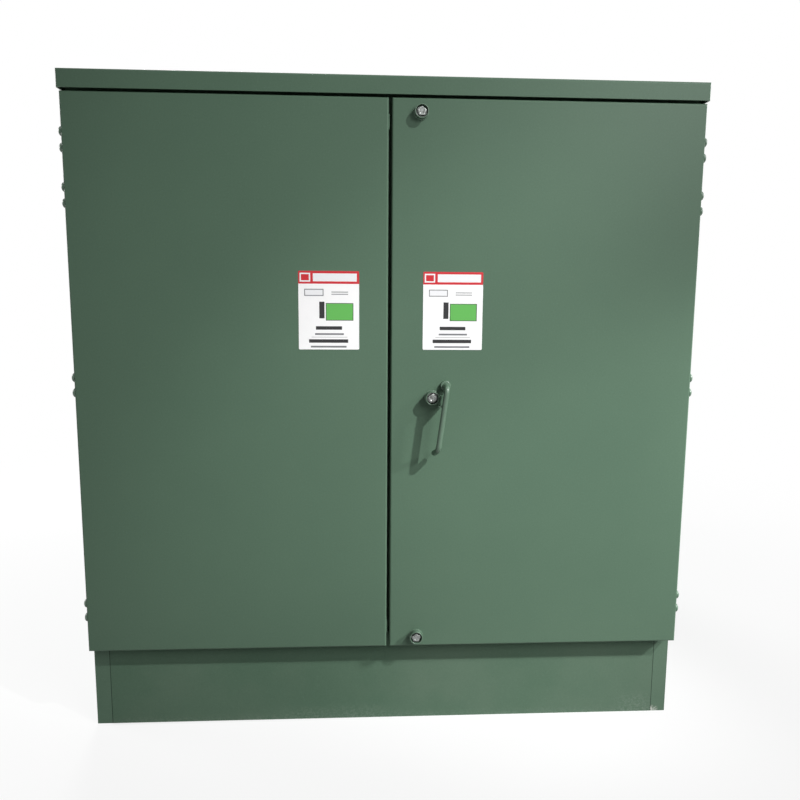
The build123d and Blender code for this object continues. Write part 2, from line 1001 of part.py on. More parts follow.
def gauges():
    """Two round dials, one over the other, with a raised rim."""
    outline = [
        (0, 0),
        (gauge_radius, 0),
        (gauge_radius, gauge_depth),
        (gauge_radius - gauge_rim, gauge_depth),
        (gauge_radius - gauge_rim, gauge_depth - gauge_glass_depth),
        (0, gauge_depth - gauge_glass_depth),
    ]
    heights = [gauge_level_height, gauge_level_height - gauge_pitch]
    return [turned_y(gauge_x, tank_front_y, z, outline) for z in heights]


def tap_changer():
    """A dial plate with a hub and a bar handle."""
    outline = [
        (0, 0),
        (tap_dial_radius, 0),
        (tap_dial_radius, tap_dial_depth),
        (tap_hub_radius, tap_dial_depth),
        (tap_hub_radius, tap_dial_depth + tap_hub_depth),
        (0, tap_dial_depth + tap_hub_depth),
    ]
    dial = turned_y(tap_x, tank_front_y, tap_height, outline)
    y_high = tank_front_y - tap_dial_depth - tap_hub_depth
    half = tap_handle_width / 2
    length = tap_handle_length / 2
    zs = (tap_height - length, tap_height + length)
    bar = block((tap_x - half, tap_x + half), (y_high - tap_handle_depth, y_high), zs)
    return dial + fillet(bar.edges().filter_by(Axis.Y), tap_handle_round)


def drain_valve():
    """A globe valve on a stub, with a handwheel above and a capped outlet in front."""
    reach = valve_stub_length
    outline = [
        (0, 0),
        (valve_stub_radius, 0),
        (valve_stub_radius, reach),
        (valve_body_radius, reach),
        (valve_body_radius, reach + valve_body_length),
        (valve_cap_radius, reach + valve_body_length),
        (valve_cap_radius, reach + valve_body_length + valve_cap_length),
        (0, reach + valve_body_length + valve_cap_length),
    ]
    body = turned_y(valve_x, tank_front_y, valve_height, outline)
    y = tank_front_y - reach - valve_body_length / 2
    neck_top = valve_height + valve_body_radius + valve_neck_length
    body += rod_z(valve_x, y, valve_height, neck_top, valve_neck_radius)
    wheel_top = neck_top + valve_wheel_height
    return body + rod_z(valve_x, y, neck_top, wheel_top, valve_wheel_radius)


def ground_pads():
    """Steel pads with two holes, welded low on the tank's front wall."""
    pads = []
    for x in (hv_centre_x, lv_centre_x):
        half = pad_width / 2
        ys = (tank_front_y - pad_thickness, tank_front_y)
        pad = block((x - half, x + half), ys, (pad_bottom, pad_bottom + pad_height))
        middle = pad_bottom + pad_height / 2
        for sign in (-1, 1):
            z = middle + sign * pad_hole_pitch / 2
            pad -= rod_y(x, z, ys[0] - cut_over, ys[1] + cut_over, pad_hole / 2)
        pads.append(pad)
    return pads


def anchor_brackets():
    """Angles on the side sheets, with a hole each for a hold-down bolt."""
    brackets = []
    y_low = flange_y + anchor_back
    for side in (-1, 1):
        x_high = side_x - side_sheet
        ys = (y_low, y_low + anchor_length)
        foot = block((x_high - anchor_leg, x_high), ys, (0, anchor_plate))
        foot += block((x_high - anchor_plate, x_high), ys, (0, anchor_leg))
        hole_x = x_high - anchor_leg + anchor_leg * anchor_hole_share - anchor_plate / 2
        hole_y = (ys[0] + ys[1]) / 2
        foot -= rod_z(hole_x, hole_y, -cut_over, anchor_plate + cut_over, anchor_hole / 2)
        brackets.append(mirrored(foot, side))
    return brackets


parts["tank_floor"] = tank_floor()
parts["tank_left_wall"] = tank_side_wall(-1)
parts["tank_right_wall"] = tank_side_wall(1)
parts["tank_rear_wall"] = tank_rear_wall()
parts["tank_front_wall"] = tank_front_wall()
parts["tank_cover"] = tank_cover()
parts["handhole_cover"] = handhole_cover()
parts["lifting_lugs"] = lifting_lugs()
parts["core"] = core()
parts["windings"] = windings()
parts["radiator_headers"] = radiator_headers()
left_panels, right_panels = radiator_panels()
parts["radiator_panels_left"] = left_panels
parts["radiator_panels_right"] = right_panels
parts["cabinet_left_side"] = cabinet_side(-1)
parts["cabinet_right_side"] = cabinet_side(1)
parts["cabinet_header"] = cabinet_header()
parts["sill_panel"] = sill_panel()
parts["compartment_barrier"] = compartment_barrier()
parts["hood"] = hood()
parts["left_hinge_fixed_leaves"] = fixed_hinge_leaves(-1)
parts["right_hinge_fixed_leaves"] = fixed_hinge_leaves(1)
parts["hv_bushings"] = hv_bushings()
parts["parking_stands"] = parking_stands()
parts["lv_bushings"] = lv_bushings()
parts["lv_spades"] = lv_spades()
parts["gauges"] = gauges()
parts["tap_changer"] = tap_changer()
parts["drain_valve"] = drain_valve()
parts["ground_pads"] = ground_pads()
parts["anchor_brackets"] = anchor_brackets()
parts["left_door_panel"] = door_pan(-1)
parts["left_door_stiffener"] = door_stiffener(-1)
parts["left_door_hinge_leaves"] = door_hinge_leaves(-1)
parts["left_door_tabs"] = left_door_tabs()
parts["left_door_stay_bracket"] = stay_bracket(-1)
parts["right_door_panel"] = right_door_panel()
parts["right_door_stiffener"] = door_stiffener(1)
parts["right_door_hinge_leaves"] = door_hinge_leaves(1)
parts["right_door_stay_bracket"] = stay_bracket(1)
parts["penta_guards"] = penta_guards()
parts["penta_bolts"] = penta_bolts()
parts["handle_collar"] = handle_collar()
parts["latch_guides"] = latch_guides()
parts["door_handle"] = door_handle()
parts["latch_cam"] = latch_cam()
parts["upper_latch_rod"] = latch_rod(1)
parts["lower_latch_rod"] = latch_rod(-1)

os.makedirs("parts", exist_ok=True)
for name, shape in parts.items():
    solids = shape if isinstance(shape, list) else [shape]
    body = Compound(children=[solid for item in solids for solid in item.solids()])
    export_step(body, f"parts/{name}.step")
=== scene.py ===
import json
from math import cos, pi, radians, sin

import bmesh
import bpy
import numpy as np
from mathutils import Matrix, Vector


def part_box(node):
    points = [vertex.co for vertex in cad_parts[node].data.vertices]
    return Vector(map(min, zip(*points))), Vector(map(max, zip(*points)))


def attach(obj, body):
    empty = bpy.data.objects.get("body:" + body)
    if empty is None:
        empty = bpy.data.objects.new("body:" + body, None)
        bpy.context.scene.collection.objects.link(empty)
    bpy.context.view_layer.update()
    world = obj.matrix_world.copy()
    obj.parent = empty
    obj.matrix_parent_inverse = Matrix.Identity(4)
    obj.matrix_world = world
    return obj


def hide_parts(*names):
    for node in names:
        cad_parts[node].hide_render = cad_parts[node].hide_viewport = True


# Looks of a pad-mounted power transformer: a painted steel cabinet with two doors, its tank and
# radiators behind, and what the compartment holds. Metres; +X right, +Y away from the doors, +Z up.

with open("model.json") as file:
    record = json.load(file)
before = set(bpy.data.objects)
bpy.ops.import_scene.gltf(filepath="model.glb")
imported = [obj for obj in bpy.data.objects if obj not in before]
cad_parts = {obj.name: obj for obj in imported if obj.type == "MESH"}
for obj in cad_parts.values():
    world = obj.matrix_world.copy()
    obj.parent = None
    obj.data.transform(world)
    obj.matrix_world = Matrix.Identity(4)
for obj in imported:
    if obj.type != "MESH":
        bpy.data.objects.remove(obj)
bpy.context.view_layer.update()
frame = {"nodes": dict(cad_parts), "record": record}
MM = 0.001
X, Y, Z = np.eye(3)
RIPPLE = 0.14  # Share by which a weld bead swells and thins


# Shader maths


class Wire:
    """A socket of a node tree. The arithmetic operators add Math nodes to that tree."""

    def __init__(self, nodes, socket):
        self.nodes = nodes
        self.socket = socket

    def math(self, operation, *values):
        """A Math node of that operation, fed with the values in turn."""
        return self.nodes.node("ShaderNodeMath", {"operation": operation}, dict(enumerate(values)))

    def __add__(self, other):
        return self.math("ADD", self, other)

    def __sub__(self, other):
        return self.math("SUBTRACT", self, other)

    def __rsub__(self, other):
        return self.math("SUBTRACT", other, self)

    def __mul__(self, other):
        return self.math("MULTIPLY", self, other)

    __radd__ = __add__
    __rmul__ = __mul__

    def __abs__(self):
        return self.math("ABSOLUTE", self)

    def most(self, other):
        """The larger of the two."""
        return self.math("MAXIMUM", self, other)

    def root(self):
        """The square root."""
        return self.math("SQRT", self)

    def past_whole(self):
        """What is left past the last whole number."""
        return self.math("FRACT", self)

    def step(self, low, high):
        """0 up to low, 1 from high on, and a smooth step between. It falls where low is above high."""
        settings = {"interpolation_type": "SMOOTHSTEP"}
        return self.nodes.node("ShaderNodeMapRange", settings, {0: self, 1: low, 2: high})


class Nodes:
    """A node tree under construction. Every node comes from its one method, node()."""

    def __init__(self, tree):
        self.tree = tree
        self.tree.nodes.clear()

    def node(self, kind, settings=None, sockets=None, out=0):
        """A node with those settings and sockets. It gives back its output numbered or named out, if any."""
        made = self.tree.nodes.new(kind)
        for key, value in (settings or {}).items():
            setattr(made, key, value)
        for key, value in (sockets or {}).items():
            if isinstance(value, Wire):
                self.tree.links.new(value.socket, made.inputs[key])
            else:
                made.inputs[key].default_value = value
        return Wire(self, made.outputs[out]) if made.outputs else None


class Finish(Nodes):
    """A material under construction."""

    def __init__(self, name):
        self.material = bpy.data.materials.new(name)
        self.material.use_nodes = True
        super().__init__(self.material.node_tree)
        self.place = self.node("ShaderNodeTexCoord", out="Object")

    def axes(self, *numbers):
        """Object coordinates in metres: 0 is x, 1 is y and 2 is z."""
        return [self.node("ShaderNodeSeparateXYZ", None, {0: self.place}, number) for number in numbers]

    def noise(self, scale, detail=2.0, rough=0.5, stretch=(1, 1, 1), shift=(0, 0, 0)):
        """Cloudy noise between 0 and 1, with about scale clouds to the metre along each axis."""
        sockets = {"Vector": self.place, "Scale": stretch, "Location": shift}
        moved = self.node("ShaderNodeMapping", None, sockets)
        sockets = {"Vector": moved, "Scale": scale, "Detail": detail, "Roughness": rough}
        return self.node("ShaderNodeTexNoise", None, sockets)

    def mix(self, share, first, second):
        """A colour, from first at share 0 to second at share 1."""
        return self.node("ShaderNodeMix", {"data_type": "RGBA"}, {0: share, 6: first, 7: second}, 2)

    def relief(self, height, depth, over=None):
        """A Bump: height between 0 and 1 stands for that depth in metres."""
        sockets = {"Height": height, "Distance": depth}
        if over:
            sockets["Normal"] = over
        return self.node("ShaderNodeBump", None, sockets)

    def close(self, colour, roughness, **others):
        """The finished material. Other sockets are named with _ for each space."""
        sockets = {"Base Color": colour, "Roughness": roughness}
        sockets.update({key.replace("_", " "): value for key, value in others.items()})
        shader = self.node("ShaderNodeBsdfPrincipled", None, sockets)
        self.node("ShaderNodeOutputMaterial", None, {"Surface": shader})
        return self.material


def tone(red, green, blue):
    """A screen colour, 0 to 255 each, as linear light with alpha 1."""
    values = np.array([red, green, blue]) / 255
    linear = np.where(values <= 0.04045, values / 12.92, ((values + 0.055) / 1.055) ** 2.4)
    return (*linear.tolist(), 1.0)


def window(value, low, high, soft):
    """1 between low and high, with edges that fade over soft."""
    return value.step(low - soft, low + soft) * value.step(high + soft, high - soft)


# Places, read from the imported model

door_low, door_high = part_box("right_door_panel")
sill_low, sill_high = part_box("sill_panel")
front = door_low.y
door_bottom, door_top = door_low.z, door_high.z
side = door_high.x
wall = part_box("tank_front_wall")[0].y
tank_side, rear, tank_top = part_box("tank_rear_wall")[1]


# Paint


def green_paint(name, dust=0.3, worn=0.0, wave=1.0, marks=None, roughness=0.42, mirror=0.22):
    """Sprayed green enamel: cloudy tone, orange peel, a little grime and dust low down."""
    finish = Finish(name)
    x, z = finish.axes(0, 2)
    clouds = finish.noise(2.3, 4.0, 0.6)
    drift = finish.noise(0.9, 2.0, 0.5, shift=(4.1, 0.7, 2.9))
    speck = finish.noise(260, 2.0, 0.6)
    peel = finish.noise(520, 2.0, 0.55)
    pores = finish.noise(1500, 1.0, 0.5)
    sheet = finish.noise(2.6, 1.0, 0.4, stretch=(1, 1, 0.7), shift=(1.7, 0, 0.4))
    share = clouds * 0.55 + drift * 0.45
    base = finish.mix(share.step(0.25, 0.75), tone(80, 105, 87), tone(86, 111, 92))
    base = finish.mix(speck.step(0.52, 0.8) * 0.20, base, tone(60, 84, 68))
    base = finish.mix(speck.step(0.47, 0.25) * 0.16, base, tone(104, 130, 113))
    low = z.step(0.5, 0.0)
    settled = low * clouds.step(0.35, 0.7) * dust
    base = finish.mix(settled * 0.5, base, tone(116, 128, 115))
    rough = clouds * 0.06 + roughness + settled * 0.15
    if worn:
        scuff = finish.noise(70, 4.0, 0.7, stretch=(1, 1, 0.35)).step(0.60, 0.72)
        base = finish.mix(scuff * worn, base, tone(142, 156, 144))
        rough = rough + scuff * 0.1
    if marks:
        base, rough = marks(finish, x, z, base, rough)
    normal = finish.relief(sheet, 0.0016 * wave)
    normal = finish.relief(peel, 0.00006, normal)
    normal = finish.relief(pores, 0.000012, normal)
    return finish.close(base, rough, Normal=normal, Specular_IOR_Level=mirror)


def sill_marks(finish, x, z, base, rough):
    """Dust, scuffs, two dark drips and the dark joints at both ends of the sheet under the doors."""
    grit = finish.noise(260, 4.0, 0.75, stretch=(0.7, 1, 1))
    patch = window(x, -0.27, 0.02, 0.08) * window(z, 0.004, 0.030, 0.014)
    right = window(x, 0.60, 0.68, 0.03) * window(z, 0.005, 0.045, 0.02)
    foot = z.step(0.022, 0.0) * grit.step(0.40, 0.70) * 0.35
    dusty = (patch * 0.30 + right * 0.45) * grit.step(0.38, 0.70) + foot
    base = finish.mix(dusty, base, tone(128, 142, 130))
    joint = 1 - window(x, sill_low.x + 1.5 * MM, sill_high.x - 1.5 * MM, 0.4 * MM)
    base = finish.mix(joint * 0.85, base, tone(26, 36, 30))
    run = finish.noise(55, 2.0, 0.5, stretch=(1, 1, 0.1))
    drip = window(x, -0.030, 0.010, 0.004) * window(z, 0.146, 0.180, 0.008) * run.step(0.50, 0.62)
    base = finish.mix(drip * 0.75, base, tone(22, 32, 26))
    return base, rough + dusty * 0.2


def strip_marks(finish, x, z, base, rough):
    """Chipped paint at the foot of the right-hand strip."""
    chips = finish.noise(90, 3.0, 0.6)
    spot = window(x, 0.680, 0.700, 0.006) * window(z, 0.0, 0.012, 0.006) * chips.step(0.42, 0.55)
    base = finish.mix(spot, base, tone(186, 190, 182))
    return base, rough


def zinc():
    """Bright zinc plate: grey spangle, fine scratches."""
    finish = Finish("bright_zinc_plate")
    grain = finish.noise(420, 3.0, 0.6)
    stain = finish.noise(120, 3.0, 0.6, shift=(0.3, 0.2, 0.9))
    colour = finish.mix(grain.step(0.3, 0.7), tone(112, 116, 114), tone(164, 168, 165))
    colour = finish.mix(stain.step(0.52, 0.66) * 0.6, colour, tone(66, 66, 62))
    normal = finish.relief(grain, 0.00015)
    return finish.close(colour, grain * 0.15 + 0.30, Metallic=0.85, Normal=normal)


def brushed(name, dark, light, roughness):
    """A metal with fine upright lines."""
    finish = Finish(name)
    lines = finish.noise(300, 3.0, 0.6, stretch=(1, 1, 0.1))
    stain = finish.noise(30, 3.0, 0.6)
    share = lines * 0.6 + stain * 0.4
    colour = finish.mix(share.step(0.3, 0.7), dark, light)
    normal = finish.relief(lines, 0.00008)
    return finish.close(colour, stain * 0.12 + roughness, Metallic=1.0, Normal=normal)


def dielectric(name, dark, light, roughness, grain=200, depth=0.00005, coat=0.0):
    """Rubber, glaze or moulded resin: a faint mottle and a fine grain."""
    finish = Finish(name)
    mottle = finish.noise(14, 3.0, 0.6)
    fine = finish.noise(grain, 2.0, 0.6)
    colour = finish.mix(mottle.step(0.3, 0.7), dark, light)
    normal = finish.relief(fine, depth)
    return finish.close(colour, mottle * 0.08 + roughness, Coat_Weight=coat, Normal=normal)


def core_laminations():
    """A stack of thin silicon-steel sheets, seen on edge."""
    finish = Finish("stacked_core_sheets")
    wobble = finish.noise(6, 2.0, 0.5)
    lines = finish.noise(900, 1.0, 0.5, stretch=(0.02, 1, 0.02))
    colour = finish.mix(lines.step(0.35, 0.65), tone(92, 94, 98), tone(142, 144, 148))
    colour = finish.mix(wobble.step(0.4, 0.7) * 0.4, colour, tone(84, 74, 64))
    normal = finish.relief(lines, 0.0002)
    return finish.close(colour, wobble * 0.1 + 0.42, Metallic=0.7, Normal=normal)


def wound_coil():
    """Layers of varnished wire under paper tape, wound about a vertical axis."""
    finish = Finish("varnished_coil")
    turns = finish.noise(260, 1.0, 0.4, stretch=(0.03, 0.03, 1))
    stain = finish.noise(9, 3.0, 0.6)
    colour = finish.mix(turns.step(0.3, 0.7), tone(150, 98, 52), tone(198, 150, 94))
    colour = finish.mix(stain.step(0.45, 0.7) * 0.5, colour, tone(112, 76, 44))
    normal = finish.relief(turns, 0.0009)
    return finish.close(colour, stain * 0.1 + 0.35, Coat_Weight=0.3, Normal=normal)


red_ink = tone(200, 38, 48)
white_ink = tone(238, 238, 240)
green_ink = tone(96, 176, 84)
dark_ink = tone(28, 28, 30)
grey_ink = tone(120, 122, 124)
# Each block of a label, in mm from its middle: left, right, bottom, top and ink
LABEL_BLOCKS = [
    (-69.3, 69.3, 60.5, 89.5, red_ink),
    (-66, -42, 65, 85, white_ink),
    (-63, -45, 68, 82, red_ink),
    (-36, 64, 66, 84, white_ink),
    (-56, -12, 33, 49, grey_ink),
    (-54, -14, 35, 47, white_ink),
    (6, 44, 41, 43, grey_ink),
    (6, 44, 36, 38, grey_ink),
    (-22, -10, -18, 20, dark_ink),
    (-7, 56, -23, 17, dark_ink),
    (-5.6, 54.6, -21.6, 15.6, green_ink),
    (-30, 30, -44, -36, dark_ink),
    (-32, 34, -56, -52, grey_ink),
    (-40, 42, -61.4, -60.6, grey_ink),
    (-46, 44, -74, -66, dark_ink),
    (-42, 40, -85, -81, grey_ink),
]
TICKS_ROUND = 24


def label_finish(name, middle_x, middle_z):
    """A plain printed plate with no words: a red band, blocks and bars on a white field."""
    finish = Finish(name)
    x, z = finish.axes(0, 2)
    u = x - middle_x
    v = z - middle_z
    soft = 0.25 * MM
    paper = finish.noise(30, 3.0, 0.6)
    colour = finish.mix(paper.step(0.3, 0.7) * 0.5, tone(251, 250, 250), tone(246, 246, 246))
    for low_x, high_x, low_z, high_z, ink in LABEL_BLOCKS:
        share = window(u, low_x * MM, high_x * MM, soft) * window(v, low_z * MM, high_z * MM, soft)
        colour = finish.mix(share, colour, ink)
    normal = finish.relief(finish.noise(700, 2.0, 0.5), 0.00002)
    return finish.close(colour, paper * 0.08 + 0.34, Normal=normal)


def gauge_face_finish(name, middle_x, middle_z, radius):
    """A white dial with a ring of plain ticks and a coloured arc, without figures."""
    finish = Finish(name)
    x, z = finish.axes(0, 2)
    u = x - middle_x
    v = z - middle_z
    soft = 0.4 * MM
    reach = (u * u + v * v).root()
    ticks = u.math("ARCTAN2", u, v) * (TICKS_ROUND / (2 * pi)) + 0.5
    tick = abs(ticks.past_whole() - 0.5).step(0.09, 0.05) * window(reach, radius * 0.66, radius * 0.84, soft)
    lower = v.step(-radius * 0.45, -radius * 0.40)
    arc = window(reach, radius * 0.86, radius * 0.92, soft) * u.step(0.3 * radius, 0.34 * radius)
    mottle = finish.noise(60, 2.0, 0.5)
    colour = finish.mix(mottle.step(0.3, 0.7), tone(226, 227, 222), tone(236, 236, 232))
    colour = finish.mix(tick * lower, colour, dark_ink)
    colour = finish.mix(arc * lower, colour, red_ink)
    return finish.close(colour, mottle * 0.05 + 0.3, Coat_Weight=0.6)


paint_tank = green_paint("green_enamel_tank", dust=0.5, wave=0.8, roughness=0.5, mirror=0.15)
paint_cabinet = green_paint("green_enamel_cabinet", dust=0.35)
paint_strip = green_paint("green_enamel_right_strip", dust=0.35, marks=strip_marks)
paint_sill = green_paint("green_enamel_sill", dust=0.5, marks=sill_marks, mirror=0.1)
paint_door = green_paint("green_enamel_doors", dust=0.15)
paint_hardware = green_paint("green_enamel_hardware", dust=0.0, worn=0.35, wave=0.0, roughness=0.34,
                             mirror=0.6)
zinc_plate = zinc()
core_steel = core_laminations()
coil_finish = wound_coil()
rubber = dielectric("moulded_cap_rubber", tone(38, 38, 40), tone(54, 54, 56), 0.55)
glaze = dielectric("grey_porcelain_glaze", tone(150, 154, 158), tone(170, 173, 176), 0.10, 60, 0.0001, 0.6)
tinned = brushed("tinned_copper_bar", tone(176, 170, 160), tone(210, 206, 198), 0.25)
cast_case = dielectric("cast_gauge_case", tone(112, 116, 118), tone(136, 140, 142), 0.38, 400, 0.00015)
brass = brushed("dull_cast_brass", tone(150, 116, 58), tone(184, 150, 86), 0.30)
black_knob = dielectric("black_moulded_knob", tone(22, 22, 24), tone(34, 34, 36), 0.35, 300)

NODE_FINISH = {
    "tank_paint": paint_tank,
    "cabinet_paint": paint_cabinet,
    "door_paint": paint_door,
    "handle_paint": paint_hardware,
    "zinc_steel": zinc_plate,
    "core_steel": core_steel,
    "coil": coil_finish,
    "cap_rubber": rubber,
    "porcelain": glaze,
    "tinned_copper": tinned,
    "gauge_case": cast_case,
    "valve_brass": brass,
}
OWN_FINISH = {"sill_panel": paint_sill, "cabinet_right_side": paint_strip}
for part in frame["record"]["subparts"]:
    held = frame["nodes"][part["node"]].data.materials
    held.clear()
    held.append(OWN_FINISH.get(part["node"], NODE_FINISH[part["material_slot"]]))


# Surfaces worked out on grids


def rings(points):
    """A surface through rows of points, each row a closed ring: point (i, j) is corner i * columns + j."""
    rows, columns = points.shape[:2]
    i, j = np.meshgrid(np.arange(rows - 1), np.arange(columns), indexing="ij")
    beside = (j + 1) % columns
    corners = [i * columns + j, (i + 1) * columns + j, (i + 1) * columns + beside, i * columns + beside]
    return points.reshape(-1, 3), np.stack(corners, -1).reshape(-1, 4)


def many(shape, places):
    """The same surface at several places."""
    points, faces = shape
    places = np.asarray(places, float)
    count = np.arange(len(places))[:, None, None] * len(points)
    moved = points[None] + places[:, None]
    return moved.reshape(-1, 3), (faces[None] + count).reshape(-1, 4)


def joined(*shapes):
    """Several surfaces as one set of points and faces."""
    starts = np.cumsum([0] + [len(points) for points, _ in shapes[:-1]])
    points = np.concatenate([points for points, _ in shapes])
    faces = np.concatenate([faces + start for (_, faces), start in zip(shapes, starts)])
    return points, faces


def across_x(shape):
    """The mirror image on the other side of the middle plane."""
    points, faces = shape
    return points * (-1, 1, 1), faces[:, ::-1]


def eased(corners, reach, steps=5):
    """An open outline whose inner corners P become curves: (1-s)^2 A + 2 s (1-s) P + s^2 B."""
    corners = np.asarray(corners, float)
    middle = corners[1:-1]
    back, ahead = corners[:-2] - middle, corners[2:] - middle
    long_back = np.linalg.norm(back, axis=1, keepdims=True)
    long_ahead = np.linalg.norm(ahead, axis=1, keepdims=True)
    cut = np.minimum(np.minimum(long_back, long_ahead) * 0.48, np.reshape(reach, (-1, 1)))
    first = (middle + back / long_back * cut)[:, None]
    last = (middle + ahead / long_ahead * cut)[:, None]
    s = np.linspace(0, 1, steps)[None, :, None]
    curve = (1 - s) ** 2 * first + 2 * s * (1 - s) * middle[:, None] + s**2 * last
    return np.concatenate([corners[:1], curve.reshape(-1, corners.shape[1]), corners[-1:]])


def turned(outline, centre, axis, steps):
    """A turned shape: centre + along * axis + radius * (cos t * u + sin t * v), for t once round.
    The outline gives (radius, along)."""
    outline = np.asarray(outline, float)
    axis = np.asarray(axis, float)
    u = np.cross(axis, X if abs(axis[0]) < 0.9 else Y)
    u /= np.linalg.norm(u)
    v = np.cross(axis, u)
    t = np.linspace(0, 2 * pi, steps, endpoint=False)[None, :, None]
    ring = np.cos(t) * u + np.sin(t) * v
    points = np.asarray(centre) + outline[:, 1, None, None] * axis + outline[:, 0, None, None] * ring
    return rings(points)


def slab(outline, levels, centre, u, v, axis):
    """A flat solid: the outline, drawn about its middle, is carried through levels of (inset, height).
    Point = centre + (outline - inset * outline / |outline|) + height * axis; an inset of None closes it."""
    outline = np.asarray(outline, float)
    reach = np.linalg.norm(outline, axis=1)
    shares = [np.zeros(len(outline)) if inset is None else 1 - inset / reach for inset, _ in levels]
    flat = outline[None] * np.array(shares)[:, :, None]
    heights = np.array([height for _, height in levels])[:, None, None]
    points = np.asarray(centre) + flat[..., :1] * u + flat[..., 1:] * v + heights * np.asarray(axis)
    return rings(points)


def soft_levels(height, edge):
    """Levels of a slab with an eased edge all round, closed at both ends."""
    return [(None, 0), (edge, 0), (edge * 0.3, edge * 0.3), (0, edge), (0, height - edge),
            (edge * 0.3, height - edge * 0.3), (edge, height), (None, height)]


def rectangle(width, height, corner):
    """A closed outline with round corners, about its middle."""
    t = np.linspace(0, pi / 2, 5)
    arc = np.stack([np.cos(t), np.sin(t)], 1) * corner
    inner = np.array([width / 2 - corner, height / 2 - corner])
    turns = [(1, 1, 1), (-1, 1, -1), (-1, -1, 1), (1, -1, -1)]
    return np.concatenate([(inner + arc[::order]) * (sx, sy) for sx, sy, order in turns])


def polygon(count, radius, ease_share=0.12):
    """A closed polygon with slightly rounded corners."""
    t = np.arange(count + 2) * 2 * pi / count
    corners = np.stack([np.cos(t), np.sin(t)], 1) * radius
    return eased(corners, radius * ease_share, 4)[1:-1]


def carried(path, radii, steps, lead=X):
    """A round section carried along a path: P + r * (cos t * side + sin t * rise), with
    side = tangent x lead and rise = side x tangent, both of length one."""
    path = np.asarray(path, float)
    ahead = np.gradient(path, axis=0)
    ahead /= np.linalg.norm(ahead, axis=1, keepdims=True)
    across = np.cross(ahead, lead)
    across /= np.linalg.norm(across, axis=1, keepdims=True)
    rise = np.cross(across, ahead)
    t = np.linspace(0, 2 * pi, steps, endpoint=False)[None, :, None]
    ring = np.cos(t) * across[:, None] + np.sin(t) * rise[:, None]
    points = path[:, None] + np.asarray(radii, float).reshape(-1, 1, 1) * ring
    return rings(points)


def spaced(path, step):
    """The same line with points a step apart, measured along it."""
    path = np.asarray(path, float)
    along = np.r_[0, np.cumsum(np.linalg.norm(np.diff(path, axis=0), axis=1))]
    at = np.linspace(0, along[-1], max(int(round(along[-1] / step)), 2) + 1)
    return np.stack([np.interp(at, along, path[:, k]) for k in range(3)], 1)


def circle(radius, centre, count):
    """A ring of points in a plane across Y: centre + radius * (cos t, 0, sin t), with t once round."""
    t = np.linspace(0, 2 * pi, count)
    return np.asarray(centre) + radius * np.stack([np.cos(t), np.zeros(count), np.sin(t)], 1)


def weld(path, radius=3 * MM, pitch=5 * MM, lead=X):
    """A weld bead: r = radius * (1 + RIPPLE * sin(2 pi s / pitch)) along its run, closed at both ends."""
    line = spaced(path, pitch / 4)
    run = np.arange(len(line)) * pitch / 4
    radii = radius * (1 + RIPPLE * np.sin(2 * pi * run / pitch))
    radii[[0, -1]] = 0
    return carried(line, radii, 8, lead=lead)


def piece(name, shape, body, finish, stands_for=(), sharp=35):
    """One object of the scene: doubles merged, poles closed, faces outward, places in the mesh."""
    points, faces = shape
    mesh = bpy.data.meshes.new(name)
    mesh.vertices.add(len(points))
    mesh.vertices.foreach_set("co", points.astype(np.float32).ravel())
    mesh.loops.add(faces.size)
    mesh.loops.foreach_set("vertex_index", faces.astype(np.int32).ravel())
    mesh.polygons.add(len(faces))
    mesh.polygons.foreach_set("loop_start", (np.arange(len(faces)) * 4).astype(np.int32))
    mesh.update(calc_edges=True)
    work = bmesh.new()
    work.from_mesh(mesh)
    bmesh.ops.remove_doubles(work, verts=work.verts, dist=2e-6)
    bmesh.ops.dissolve_degenerate(work, edges=work.edges, dist=1e-7)
    bmesh.ops.recalc_face_normals(work, faces=work.faces)
    work.to_mesh(mesh)
    work.free()
    mesh.polygons.foreach_set("use_smooth", np.ones(len(mesh.polygons), bool))
    mesh.set_sharp_from_angle(angle=radians(sharp))
    mesh.materials.append(finish)
    made = bpy.data.objects.new(name, mesh)
    bpy.context.scene.collection.objects.link(made)
    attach(made, body)
    if stands_for:
        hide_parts(*stands_for)


# Domed bolts through the doors' folded sides: three hinges and one stay on each door

hinge_low, hinge_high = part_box("right_door_hinge_leaves")
hinge_middle = (hinge_low.z + hinge_high.z) / 2
hinge_spacing = 544 * MM
stay_low, stay_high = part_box("right_door_stay_bracket")
pair_half = 17.5 * MM
dome_back = 12.5 * MM
dome_radius, dome_height, dome_wall = 11 * MM, 8 * MM, 1.4 * MM
bolt_levels = [hinge_middle + step * hinge_spacing for step in (-1, 0, 1)]
bolt_levels.append((stay_low.z + stay_high.z) / 2)
bolt_places = [(side, front + dome_back, z + sign * pair_half) for z in bolt_levels for sign in (-1, 1)]


def dome(radius, height, rim):
    """Outline of a carriage bolt's head: a short wall, then a quarter ellipse to the pole."""
    t = np.linspace(0, pi / 2, 9)
    curve = np.stack([radius * np.cos(t), rim + (height - rim) * np.sin(t)], 1)
    return np.concatenate([[(radius * 0.97, 0)], curve])


domes = many(turned(dome(dome_radius, dome_height, dome_wall), (0, 0, 0), X, 28), bolt_places)
piece("right_door_bolt_heads", domes, "right_door", paint_hardware)
piece("left_door_bolt_heads", across_x(domes), "left_door", paint_hardware)


# Plain printed plates, one on each door

label_size = (138.5 * MM, 179 * MM)
label_corner, label_sheet = 2.5 * MM, 0.25 * MM
label_z = door_bottom + 819.2 * MM
for label, label_x, body in (
    ("left_door_plain_label", -139 * MM, "left_door"),
    ("right_door_plain_label", 146.7 * MM, "right_door"),
):
    levels = [(None, 0), (0, 0), (0, label_sheet), (None, label_sheet)]
    plate = slab(rectangle(*label_size, label_corner), levels, (label_x, front, label_z), X, Z, -Y)
    piece(label, plate, body, label_finish(label + "_finish", label_x, label_z))


# Guard cups, penta-head bolts and the padlock plate on the right door

